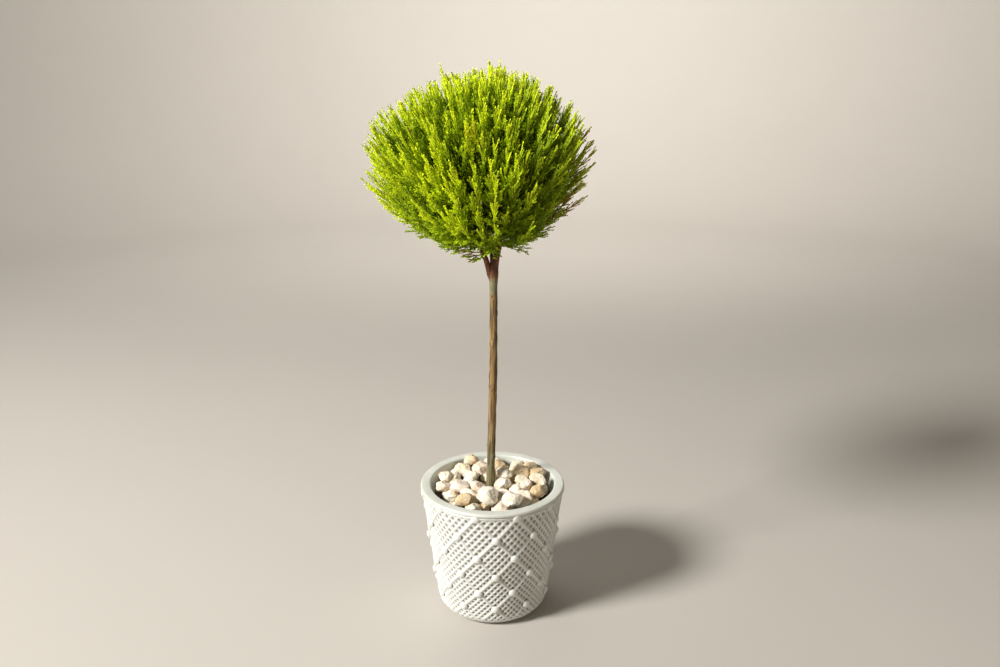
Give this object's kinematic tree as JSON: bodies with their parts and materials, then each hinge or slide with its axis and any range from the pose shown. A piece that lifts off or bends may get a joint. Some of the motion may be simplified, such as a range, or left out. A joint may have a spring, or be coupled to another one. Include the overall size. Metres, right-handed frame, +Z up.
{
  "type": "ball-headed cypress standard in a ceramic pot",
  "caption": "Small evergreen standard: one thin bare stem under a clipped round feathery crown, in a white embossed ceramic pot topped with pale pebbles.",
  "frame": {"origin": "centre of the pot's flat underside", "axes": "+Z up along the trunk, +X to the right and -Y towards the viewer in the picture's view"},
  "size_m": [0.235, 0.2422, 0.6285],
  "materials": {
    "ceramic": "off-white satin glaze, a little grey in the dimples of the embossed lattice",
    "soil": "dark damp potting compost with bark crumbs",
    "bark": "thin grey-tan bark with lengthwise cracks and small knots",
    "young_bark": "smooth reddish brown young bark",
    "foliage": "golden green scale leaves, brighter at the tips and dark green inside",
    "pebble_white": "matt white limestone chip",
    "pebble_cream": "matt cream chip with yellowish faces",
    "pebble_pink": "matt pinkish beige chip",
    "pebble_tan": "matt tan chip"
  },
  "bodies": {
    "root": {"pot": "ceramic", "potting_soil": "soil", "trunk": "bark", "bough_right": "young_bark", "bough_left": "young_bark", "bough_back": "young_bark", "crown_foliage": "foliage", "pebble_01": "pebble_white", "pebble_02": "pebble_cream", "pebble_03": "pebble_pink", "pebble_04": "pebble_tan", "pebble_05": "pebble_white", "pebble_06": "pebble_cream", "pebble_07": "pebble_pink", "pebble_08": "pebble_tan", "pebble_09": "pebble_white", "pebble_10": "pebble_cream", "pebble_11": "pebble_pink", "pebble_12": "pebble_tan", "pebble_13": "pebble_white", "pebble_14": "pebble_cream", "pebble_15": "pebble_pink", "pebble_16": "pebble_tan", "pebble_17": "pebble_white", "pebble_18": "pebble_cream", "pebble_19": "pebble_pink", "pebble_20": "pebble_tan", "pebble_21": "pebble_white", "pebble_22": "pebble_cream", "pebble_23": "pebble_pink", "pebble_24": "pebble_tan", "pebble_25": "pebble_white", "pebble_26": "pebble_cream", "pebble_27": "pebble_pink", "pebble_28": "pebble_tan", "pebble_29": "pebble_white", "pebble_30": "pebble_cream", "pebble_31": "pebble_pink", "pebble_32": "pebble_tan", "pebble_33": "pebble_white", "pebble_34": "pebble_cream", "pebble_35": "pebble_pink", "pebble_36": "pebble_tan", "pebble_37": "pebble_white", "pebble_38": "pebble_cream", "pebble_39": "pebble_pink", "pebble_40": "pebble_tan", "pebble_41": "pebble_white", "pebble_42": "pebble_cream", "pebble_43": "pebble_pink", "pebble_44": "pebble_tan", "pebble_45": "pebble_white", "pebble_46": "pebble_cream", "pebble_47": "pebble_pink", "pebble_48": "pebble_tan", "pebble_49": "pebble_white", "pebble_50": "pebble_cream", "pebble_51": "pebble_pink", "pebble_52": "pebble_tan"}
  },
  "joints": []
}
